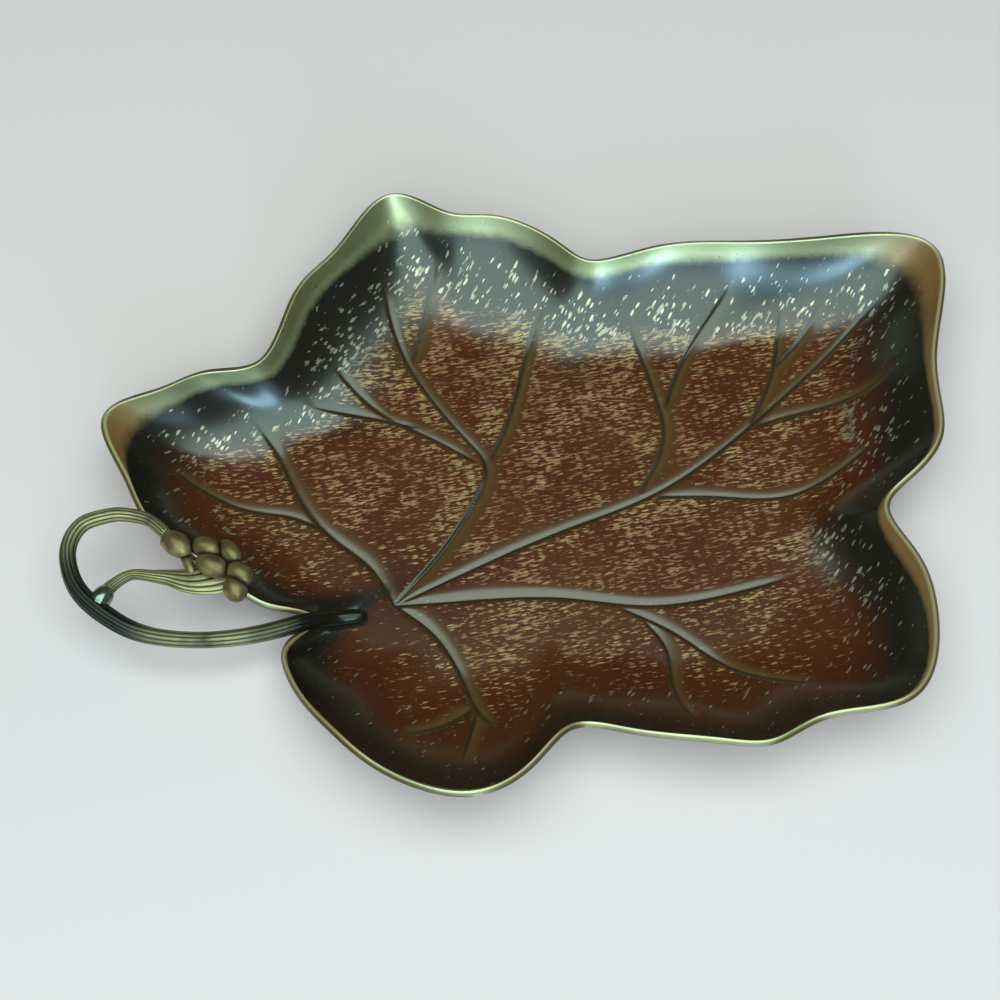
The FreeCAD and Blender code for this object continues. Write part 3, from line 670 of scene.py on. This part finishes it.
def build_leaf():
    """Pressed leaf with stepped veins, a rounded rim and its underside, and the points of its upper face."""
    grid, polish, warm, spray = leaf_grid()
    normals = grid_normals(grid)
    plan = grid[:, :, :2].reshape(-1, 2)
    drop, paint = press_veins(plan)
    upper = grid - normals * drop.reshape(grid.shape[:2])[:, :, None]
    below = upper - normals * SHEET
    below[:, :, 2] = np.maximum(below[:, :, 2], 0.0)
    rows = np.concatenate([upper, rim_rows(upper[-1], below[-1]), under_rows(below)])
    vertices = np.vstack([rows.reshape(-1, 3), FLOOR_MIDDLE, FLOOR_MIDDLE - UP * SHEET])
    faces = grid_faces(len(rows), COLUMNS)
    middle = len(rows) * COLUMNS
    last = middle - COLUMNS
    for c in range(COLUMNS):
        d = (c + 1) % COLUMNS
        faces.append((middle, d, c))
        faces.append((middle + 1, last + c, last + d))
    leaf = new_mesh("leaf", vertices, faces)

    # Values on the upper face's grid, and on what follows it: the rounded rim, the underside, both middles
    rim_way = np.zeros(grid.shape[:2])
    lengths = np.linalg.norm(np.diff(upper, axis=0), axis=2)
    rim_way[:-1] = np.cumsum(lengths[::-1], axis=0)[::-1]
    none = np.zeros(len(vertices) - len(plan))
    far_under = none.copy()
    far_under[RIM_ROWS * COLUMNS:] = 2 * RUN["tip"]
    floor_middle = none.copy()
    floor_middle[-2] = 1.0
    bright = floor_middle.copy()
    bright[:BRIGHT_ROWS * COLUMNS] = 1.0
    layers = {
        "rim_way": (rim_way, far_under),
        "rim_share": (rim_way / polish, none),
        "rim_warm": (np.tile(warm, len(grid)), np.append(np.tile(warm, len(rows) - len(grid)), [0, 0])),
        "spray_share": (rim_way / spray, none + 1),
        **{name: (mark, none) for name, mark in paint.items()},
        "upper_side": (np.ones(len(plan)), bright),
        "flatness": (normals[:, :, 2], none + 1),
        "flecks": (fleck_density(plan, rim_way, normals, paint), floor_middle),
    }
    for name, (on_top, elsewhere) in layers.items():
        add_values(leaf, name, np.concatenate([np.ravel(on_top), elsewhere]))
    return leaf, upper


def sweep(points, half_sizes, worn, reeded, count, reeds, around, start_taper=1.0):
    """Grid of a reeded bar with rounded ends along a smooth path, its reed heights and its wear."""
    path, marks = smooth_path(points, count)

    def spread(values):
        return np.interp(marks, np.arange(len(values)), values)

    wide, high = (spread(sizes) for sizes in zip(*half_sizes))
    along = unit(np.gradient(path, axis=0))
    aside = unit(np.cross(along, UP))
    over = np.cross(aside, along)
    angle = 2 * np.pi * np.arange(around) / around
    reed = np.sqrt(np.abs(np.sin(reeds * angle / 2)))
    reed = 1 - spread(reeded)[:, None] * (1 - reed)[None, :]
    swell = 1 - REED_DEPTH * (1 - reed)
    way = np.linalg.norm(np.diff(path, axis=0), axis=1).sum() * np.linspace(0, 1, count)
    end = np.minimum(way / start_taper, way[-1] - way)
    taper = np.sqrt(np.clip(1 - (1 - np.clip(end / high, BAR_END, 1)) ** 2, 0, 1))
    x = (wide * taper)[:, None] * swell * np.cos(angle)[None, :]
    y = (high * taper)[:, None] * swell * np.sin(angle)[None, :]
    grid = path[:, None, :] + x[:, :, None] * aside[:, None, :] + y[:, :, None] * over[:, None, :]
    return grid, reed, np.tile(spread(worn)[:, None], (1, around))


def bar_piece(name, grid, reed, wear):
    """Closed mesh from a swept grid, with its reed heights and its wear."""
    rows, columns = grid.shape[:2]
    faces = [face[::-1] for face in grid_faces(rows, columns)]
    faces.append(tuple(range(columns)))
    faces.append(tuple(reversed(range((rows - 1) * columns, rows * columns))))
    piece = new_mesh(name, grid.reshape(-1, 3), faces)
    add_values(piece, "reed", reed.ravel())
    add_values(piece, "wear", wear.ravel())
    return piece


def height_finder(upper):
    """Function that gives the height of the leaf's upper face at a place in plan."""
    xs, ys, heights = (upper[:, :, k].ravel() for k in range(3))

    def height(x, y):
        return heights[np.argmin((xs - x) ** 2 + (ys - y) ** 2)]

    return height


def stem_points(leaf_height):
    """Centre line of the stem with its half sizes, wear and share of the reeds' depth at each point."""
    rows = []
    for k, (x, y) in enumerate(TONGUE_PATH):
        place = NOTCH + (x, y, 0.0)
        place[2] = leaf_height(*place[:2]) + TONGUE_LIFT
        rows.append((place, TONGUE_RADIUS if k else TONGUE_TIP_RADIUS, 0.0, 0.0))
    for x, y, climb, thickness, wear in STEM_PATH:
        place = NOTCH + (x, y, between(SADDLE, CLUSTER, climb))
        rows.append((place, between(STEM_END_RADIUS, STEM_FORK_RADIUS, thickness), wear, 1.0))
    points, radii, worn, reeded = zip(*rows)
    return points, [(radius, radius) for radius in radii], worn, reeded


def build_stem(leaf_height):
    """Reeded stem from its tongue on the leaf, over the notch and round the loop."""
    grid, reed, wear = sweep(*stem_points(leaf_height), STEM_RINGS, STEM_REEDS, STEM_AROUND, TONGUE_TAPER)
    places = grid.reshape(-1, 3)
    for place in places:
        if place[0] > NOTCH[0] + TONGUE_START:
            place[2] = max(place[2], leaf_height(*place[:2]) + SOLDER)
    return bar_piece("stem", places.reshape(grid.shape), reed, wear)


def build_branch():
    """Branch from the fork to the fan under the buds."""
    fork = between(SADDLE, CLUSTER, FORK_CLIMB)
    fan = CLUSTER - FAN_DROP
    points = []
    sizes = []
    worn = []
    flares = BRANCH_FLARE + (0.0,) * (len(BRANCH_PATH) - len(BRANCH_FLARE))
    for (x, y, climb, spread), flare in zip(BRANCH_PATH, flares):
        points.append(NOTCH + (x, y, between(fork, fan, climb)))
        wide = between(BRANCH_RADIUS, FAN_HALF_WIDTH, spread) + flare
        high = between(BRANCH_RADIUS, FAN_HALF_HEIGHT, spread) + flare / 2
        sizes.append((wide, high))
        worn.append(between(BRANCH_WEAR, 1.0, min(1.0, climb / BRANCH_WORN_BY)))
    reeded = [1.0] * len(points)
    bar = sweep(points, sizes, worn, reeded, BRANCH_RINGS, BRANCH_REEDS, BRANCH_AROUND)
    return bar_piece("branch", *bar)


def oval_axes(x, y, lift, heading, length, width):
    """Centre and three half axes of an oval."""
    turn = math.radians(heading)
    along = np.array([math.cos(turn), math.sin(turn), 0.0]) * length / 2
    aside = np.array([-math.sin(turn), math.cos(turn), 0.0]) * width / 2
    return NOTCH + (x, y, CLUSTER + lift), along, aside, UP * width / 2


def build_oval(name, x, y, lift, heading, length, width, collar):
    """Smooth oval with a collar at its root, and the painted shade of the gaps between it and its
    neighbours.
    """
    centre, along, aside, over = oval_axes(x, y, lift, heading, length, width)
    vertices = []
    for r in range(OVAL_ROWS + 1):
        polar = math.pi * r / OVAL_ROWS
        reach = -math.cos(polar)
        from_collar = (reach - COLLAR_PLACE) / COLLAR_WIDTH
        radius = math.sin(polar) ** OVAL_FULLNESS + collar / width * math.exp(-from_collar ** 2)
        for c in range(OVAL_COLUMNS):
            angle = 2 * math.pi * c / OVAL_COLUMNS
            outward = aside * math.cos(angle) + over * math.sin(angle)
            vertices.append(centre + along * reach + outward * radius)
    vertices = np.array(vertices)
    # Painted shade where another oval is near
    gap = np.zeros(len(vertices))
    for other, *sizes, _ in OVALS:
        if other != name:
            middle, *halves = oval_axes(*sizes)
            shares = [(vertices - middle) @ half / (half @ half) for half in halves]
            away = np.sqrt(sum(share ** 2 for share in shares))
            gap = np.maximum(gap, smoothstep(GAP_SHADE_REACH, 1.0, away))
    piece = new_mesh(name + "_form", vertices, grid_faces(OVAL_ROWS + 1, OVAL_COLUMNS))
    add_values(piece, "gap", gap)
    add_values(piece, "height", (vertices[:, 2] - centre[2]) / (width / 2))
    return piece


def linear_colour(screen):
    """Colour for the shader from one as it shows on screen, from 0 to 255."""
    def linear(value):
        share = value / 255
        return share / 12.92 if share <= 0.04045 else ((share + 0.055) / 1.055) ** 2.4
    return *(linear(value) for value in screen), 1.0


class Nodes:
    """Short calls for building a node material."""

    def __init__(self, name):
        self.material = bpy.data.materials.new(name)
        self.material.use_nodes = True
        self.tree = self.material.node_tree
        self.shader = self.tree.nodes["Principled BSDF"]

    def add(self, kind, **settings):
        node = self.tree.nodes.new(kind)
        for key, value in settings.items():
            setattr(node, key, value)
        return node

    def feed(self, socket, value):
        """Links an output to the socket, or sets its number or screen colour."""
        if isinstance(value, bpy.types.NodeSocket):
            self.tree.links.new(value, socket)
        elif isinstance(value, tuple):
            socket.default_value = linear_colour(value)
        else:
            socket.default_value = value

    def math(self, operation, *values):
        node = self.add("ShaderNodeMath", operation=operation)
        for socket, value in zip(node.inputs, values):
            self.feed(socket, value)
        return node.outputs[0]

    def values(self, name):
        return self.add("ShaderNodeAttribute", attribute_name=name).outputs["Fac"]

    def ramp(self, value, low, high):
        """Smooth rise from 0 to 1 as the value goes from low to high."""
        node = self.add("ShaderNodeMapRange", interpolation_type="SMOOTHSTEP")
        self.feed(node.inputs["Value"], value)
        node.inputs["From Min"].default_value = low
        node.inputs["From Max"].default_value = high
        return node.outputs["Result"]

    def blend(self, share, a, b, kind="FLOAT"):
        """Value between two values, numbers unless the kind says otherwise."""
        node = self.add("ShaderNodeMix", data_type=kind)
        for name, value in (("Factor", share), ("A", a), ("B", b)):
            self.feed(node.inputs[name], value)
        return node.outputs["Result"]

    def mix(self, share, a, b):
        """Colour between two colours."""
        return self.blend(share, a, b, "RGBA")

    def tint(self, colour, mask, amount, other):
        """Colour with an amount of another one where the mask is 1."""
        return self.mix(self.math("MULTIPLY", mask, amount), colour, other)

    def place(self, along, across, turn=0.0):
        """Object coordinates in units of the given millimetres, turned about the vertical."""
        coordinates = self.add("ShaderNodeTexCoord").outputs["Object"]
        node = self.add("ShaderNodeMapping", vector_type="TEXTURE")
        self.feed(node.inputs["Vector"], coordinates)
        node.inputs["Rotation"].default_value = (0, 0, math.radians(turn))
        node.inputs["Scale"].default_value = [MM * size for size in (along, across, along)]
        return node.outputs["Vector"]

    def clouds(self, vector, scale, detail):
        """Noise node on a vector."""
        node = self.add("ShaderNodeTexNoise")
        self.feed(node.inputs["Vector"], vector)
        node.inputs["Scale"].default_value = scale
        node.inputs["Detail"].default_value = detail
        return node

    def noise(self, size, detail):
        """Cloudy pattern about as coarse as the given millimetres."""
        return self.clouds(self.place(size, size), scale=1.0, detail=detail).outputs["Fac"]

    def surface(self, inputs, relief, strength, depth):
        """Shader's inputs, and a fine relief of the given depth in millimetres."""
        for name, value in inputs.items():
            self.feed(self.shader.inputs[name], value)
        bump = self.add("ShaderNodeBump")
        bump.inputs["Strength"].default_value = strength
        bump.inputs["Distance"].default_value = depth * MM
        self.feed(bump.inputs["Height"], relief)
        self.feed(self.shader.inputs["Normal"], bump.outputs["Normal"])
        return self.material


def fleck_cells(nodes, turn, along, across, density):
    """Crisp dashes of uneven size scattered one to a cell, and a random number for each."""
    vector = nodes.place(along, across, turn)
    wobble = nodes.clouds(vector, scale=2.0, detail=2.0)
    shift = nodes.add("ShaderNodeVectorMath", operation="MULTIPLY_ADD")
    nodes.feed(shift.inputs[0], wobble.outputs["Color"])
    shift.inputs[1].default_value = DASH_WOBBLE
    nodes.feed(shift.inputs[2], vector)
    cells = nodes.add("ShaderNodeTexVoronoi", voronoi_dimensions="2D")
    nodes.feed(cells.inputs["Vector"], shift.outputs["Vector"])
    cells.inputs["Scale"].default_value = 1.0
    pick = nodes.add("ShaderNodeSeparateColor")
    nodes.feed(pick.inputs["Color"], cells.outputs["Color"])
    size_share = nodes.math("MULTIPLY_ADD", pick.outputs["Green"], DASH_SPREAD, DASH_LEAST)
    near = nodes.ramp(nodes.math("DIVIDE", cells.outputs["Distance"], size_share), *DASH_EDGE)
    chosen = nodes.math("LESS_THAN", pick.outputs["Red"], density)
    return nodes.math("MULTIPLY", near, chosen), pick.outputs["Blue"]


def fleck_grain(nodes, turn, along, across, density):
    """Ragged dashes of gold dust, thicker where they are dense."""
    grain = nodes.clouds(nodes.place(along, across, turn), scale=1.0, detail=2.5).outputs["Fac"]
    over = nodes.math("MULTIPLY_ADD", density, DUST_EASE, nodes.math("SUBTRACT", grain, DUST_LEVEL))
    return nodes.ramp(over, *DUST_EDGE)


def lacquer_colour(nodes, broad, fine):
    """Brown lacquer, darker where it has no flecks, and the share of the dark spray towards the rim."""
    colour = nodes.mix(nodes.ramp(broad, *LACQUER_TURN), LACQUER_RED, LACQUER_BROWN)
    colour = nodes.tint(colour, fine, GRAIN_COVER, LACQUER_GRAIN)
    bare = nodes.math("SUBTRACT", 1.0, nodes.values("flecks"))
    colour = nodes.tint(colour, bare, BARE_COVER, LACQUER_BARE)
    spray = nodes.math("MULTIPLY_ADD", broad, SPRAY_UNEVENNESS, nodes.values("spray_share"))
    dark = nodes.math("MULTIPLY", nodes.ramp(spray, *SPRAY_FADE), SPRAY_COVER)
    return nodes.mix(dark, colour, SPRAY_BLACK), dark


def leaf_flecks(nodes, patch, steep):
    """Gold flecks, along the dish on its floor and slanted where the wall is steep, and their colour."""
    cluster = nodes.math("MULTIPLY_ADD", nodes.ramp(patch, *CLUSTER_TURN), *CLUSTER_SHARES)
    density = nodes.math("MULTIPLY", nodes.values("flecks"), cluster)
    few = nodes.math("MULTIPLY", density, DASH_SHARE)
    long_grain = fleck_grain(nodes, *LONG_DUST, density)
    short_grain = fleck_grain(nodes, *SHORT_DUST, density)
    wall_grain = fleck_grain(nodes, *WALL_DUST, density)
    floor_dash, floor_tone = fleck_cells(nodes, *FLOOR_DASH, few)
    wall_dash, wall_tone = fleck_cells(nodes, *WALL_DASH, few)
    floor_grain = nodes.math("MAXIMUM", long_grain, short_grain)
    grain = nodes.blend(steep, floor_grain, wall_grain)
    dash = nodes.blend(steep, floor_dash, wall_dash)
    flecks = nodes.math("MAXIMUM", nodes.math("MULTIPLY", grain, DUST_COVER), dash)
    tone = nodes.blend(steep, floor_tone, wall_tone)
    tone = nodes.blend(TONE_SHARE, tone, nodes.ramp(patch, *TONE_TURN))
    gold = nodes.mix(tone, GOLD_DULL, GOLD_BRIGHT)
    # Painted glint: flecks brighter on the step side of a vein
    gold = nodes.tint(gold, nodes.values("vein_painted_glint"), GLINT_COVER, GOLD_PAINTED_GLINT)
    return flecks, nodes.tint(gold, steep, STEEP_COVER, GOLD_STEEP)


def rim_brass(nodes, broad, fine, warm, under):
    """Brass of the rim, partly coppery, with dark specks and a painted cream highlight along its edge, and
    of the dull underside.
    """
    brass = nodes.mix(nodes.ramp(broad, *RIM_TURN), RIM_PALE, RIM_DULL)
    brass = nodes.tint(brass, warm, COPPER_COVER, RIM_COPPER)
    specks = nodes.ramp(nodes.noise(RIM_SPECKS, detail=2.0), *SPECK_TURN)
    brass = nodes.tint(brass, specks, SPECK_COVER, RIM_SPECK)
    # Painted highlight: cream along the rim's very edge
    edge = nodes.ramp(nodes.values("rim_way"), *EDGE_HIGHLIGHT_TURN)
    highlight_cover = nodes.math("MULTIPLY_ADD", warm, *EDGE_HIGHLIGHT_SHARES)
    brass = nodes.tint(brass, edge, highlight_cover, RIM_EDGE_HIGHLIGHT)
    return nodes.mix(under, brass, nodes.mix(fine, UNDER_PALE, UNDER_DULL))


def leaf_material():
    """Brown lacquer with gold flecks, an airbrushed dark band and a polished rim."""
    nodes = Nodes("leaf_lacquer")
    broad = nodes.noise(LACQUER_CLOUDS, detail=2.0)
    patch = nodes.noise(LACQUER_PATCHES, detail=2.0)
    fine = nodes.noise(LACQUER_FINE, detail=4.0)
    steep = nodes.ramp(nodes.values("flatness"), *STEEP_TURN)
    colour, dark = lacquer_colour(nodes, broad, fine)
    flecks, gold = leaf_flecks(nodes, patch, steep)
    colour = nodes.tint(colour, flecks, FLECK_COVER, gold)

    # Veins: smooth taupe flank, paler partly as painted highlight, painted shade on the foot and the dark
    # crease line
    flank_cover = nodes.math("MULTIPLY_ADD", dark, FLANK_CHANGE, FLANK_COVER)
    colour = nodes.tint(colour, nodes.values("vein_band"), flank_cover, FLANK_TAUPE_AND_HIGHLIGHT)
    colour = nodes.tint(colour, nodes.values("vein_shade"), FOOT_COVER, FOOT_PAINTED_SHADE)
    colour = nodes.tint(colour, nodes.values("vein_crease_shade"), CREASE_COVER, CREASE_PAINTED_SHADE)

    # Bare metal: the polished rim, the underside and the flecks
    warm = nodes.values("rim_warm")
    under = nodes.math("SUBTRACT", 1.0, nodes.values("upper_side"))
    uneven = nodes.math("MULTIPLY", fine, RIM_UNEVENNESS)
    rim_share = nodes.math("ADD", nodes.values("rim_share"), uneven)
    polish = nodes.math("MAXIMUM", nodes.ramp(rim_share, *RIM_FADE), under)
    dull = nodes.math("MAXIMUM", warm, nodes.math("MULTIPLY", under, UNDER_DULLNESS))
    bare_rim = nodes.math("MULTIPLY", polish, nodes.math("MULTIPLY_ADD", dull, *RIM_METAL))
    bare_flecks = nodes.math("MULTIPLY", flecks, nodes.math("MULTIPLY_ADD", steep, *FLECK_METAL))
    return nodes.surface({
        "Base Color": nodes.mix(polish, colour, rim_brass(nodes, broad, fine, warm, under)),
        "Metallic": nodes.math("MAXIMUM", bare_rim, bare_flecks),
        "Roughness": nodes.blend(polish, LACQUER_ROUGHNESS, nodes.blend(fine, *RIM_ROUGHNESS)),
        "Specular IOR Level": 0.0,
        "Coat Weight": 1.0,
        "Coat IOR": 1.75,
        "Coat Roughness": 0.25,
    }, relief=flecks, strength=0.25, depth=0.15)


def stem_material():
    """Cast brass, dark in the grooves, black round the bend and on the tongue, worn pale on the reeds."""
    nodes = Nodes("stem_brass")
    wear = nodes.values("wear")
    fine = nodes.noise(STEM_FINE, detail=4.0)
    broad = nodes.noise(STEM_CLOUDS, detail=2.0)
    crest = nodes.ramp(nodes.values("reed"), *CREST_TURN)
    colour = nodes.mix(crest, GROOVE_BLACK, CREST_BROWN)
    worn = nodes.math("MULTIPLY", nodes.math("MULTIPLY", crest, wear), nodes.ramp(broad, *WORN_TURN))
    colour = nodes.mix(worn, colour, nodes.mix(fine, WORN_DULL, WORN_BRIGHT))
    black = nodes.math("MULTIPLY", nodes.ramp(wear, *BLACK_TURN), BLACK_COVER)
    return nodes.surface({
        "Base Color": nodes.mix(black, colour, PATINA_BLACK),
        "Metallic": nodes.math("MULTIPLY", worn, WORN_METAL),
        "Roughness": nodes.blend(black, nodes.blend(fine, *STEM_ROUGHNESS), BLACK_ROUGHNESS),
        "Specular IOR Level": 0.3,
        "Coat Weight": 0.25,
        "Coat Roughness": 0.14,
    }, relief=fine, strength=0.3, depth=0.1)


def bud_material():
    """Satin brass, brownish on top and darkened in the gaps by painted shade."""
    nodes = Nodes("bud_brass")
    mottle = nodes.noise(METAL_MOTTLE, detail=5.0)
    colour = nodes.mix(nodes.ramp(mottle, *BUD_TURN), BUD_PALE, BUD_DULL)
    top = nodes.ramp(nodes.values("height"), *TOP_TURN)
    colour = nodes.tint(colour, top, TOP_COVER, BUD_TOP)
    return nodes.surface({
        # Painted shade darkens the buds where they meet their neighbours
        "Base Color": nodes.tint(colour, nodes.values("gap"), GAP_SHADE_COVER, BUD_GAP_SHADE),
        "Roughness": nodes.blend(mottle, *BUD_ROUGHNESS),
        "Metallic": BUD_METAL,
    }, relief=mottle, strength=0.25, depth=0.15)


def metal_material(name, first, second, metallic, roughness):
    """Metal mottled with two colours."""
    nodes = Nodes(name)
    mottle = nodes.noise(METAL_MOTTLE, detail=5.0)
    return nodes.surface({
        "Base Color": nodes.mix(nodes.ramp(mottle, *JOINT_TURN), first, second),
        "Roughness": nodes.blend(mottle, *roughness),
        "Metallic": metallic,
    }, relief=mottle, strength=0.25, depth=0.15)


def add_area(name, place, target, size, strength, colour):
    """Rectangular soft light turned to a point, by its brightness per area."""
    lamp = bpy.data.lights.new(name, "AREA")
    lamp.shape = "RECTANGLE"
    lamp.size, lamp.size_y = size
    lamp.energy = strength * size[0] * size[1] * math.pi
    lamp.color = colour
    holder = bpy.data.objects.new(name, lamp)
    bpy.context.scene.collection.objects.link(holder)
    holder.location = place
    aim = np.array(target, float) - np.array(place, float)
    heading = math.atan2(aim[1], aim[0])
    dip = math.atan2(np.hypot(aim[0], aim[1]), -aim[2])
    holder.rotation_euler = (dip, 0.0, heading - math.pi / 2)


def add_floor():
    """Pale floor that the dish stands on."""
    mesh = bpy.data.meshes.new("floor")
    corners = [(FLOOR_REACH * x, FLOOR_REACH * y, 0) for x, y in ((-1, -1), (1, -1), (1, 1), (-1, 1))]
    mesh.from_pydata(corners, [], [(0, 1, 2, 3)])
    floor = bpy.data.objects.new("floor", mesh)
    bpy.context.scene.collection.objects.link(floor)
    nodes = Nodes("floor_pale")
    nodes.shader.inputs["Base Color"].default_value = FLOOR_COLOUR
    nodes.shader.inputs["Roughness"].default_value = FLOOR_ROUGHNESS
    mesh.materials.append(nodes.material)


def set_stage():
    """Floor, soft light and the camera."""
    add_floor()
    for lamp in LAMPS:
        add_area(*lamp)
    world = bpy.data.worlds.new("studio")
    world.use_nodes = True
    background = world.node_tree.nodes["Background"]
    background.inputs["Color"].default_value = WORLD_LIGHT
    background.inputs["Strength"].default_value = WORLD_STRENGTH
    camera = bpy.data.cameras.new("camera")
    camera.sensor_width = CAMERA_SENSOR
    camera.lens = CAMERA_LENS
    camera.clip_start = CAMERA_NEAREST
    holder = bpy.data.objects.new("camera", camera)
    holder.location = CAMERA_PLACE
    holder.rotation_euler = (math.radians(CAMERA_TILT), 0.0, 0.0)
    scene = bpy.context.scene
    scene.collection.objects.link(holder)
    scene.world = world
    scene.camera = holder
    scene.view_settings.view_transform = "Standard"


def dress(piece, material, slot, *nodes):
    """Material and the CAD nodes that a piece stands for, which are hidden; the slot is not used."""
    piece.data.materials.append(material)
    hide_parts(*nodes)


def main():
    """Dressed pieces of the dish, on their stage."""
    leaf, upper = build_leaf()
    dress(leaf, leaf_material(), "leaf_lacquer", "leaf_dish")
    brass = stem_material()
    dress(build_stem(height_finder(upper)), brass, "stem_brass", "stem_handle")
    dress(build_branch(), brass, "stem_brass", "bud_branch")
    braze = metal_material("braze", BRAZE_PALE, BRAZE_DARK, BRAZE_METAL, BRAZE_ROUGHNESS)
    satin = bud_material()
    for oval in OVALS:
        joint = oval[0] == "fork_braze"
        dress(build_oval(*oval), braze if joint else satin, "braze" if joint else "bud_brass", oval[0])
    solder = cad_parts["tongue_solder"]
    solder.data.materials.clear()
    tin = metal_material("solder", SOLDER_DARK, SOLDER_PALE, SOLDER_METAL, SOLDER_ROUGHNESS)
    solder.data.materials.append(tin)
    set_stage()


main()
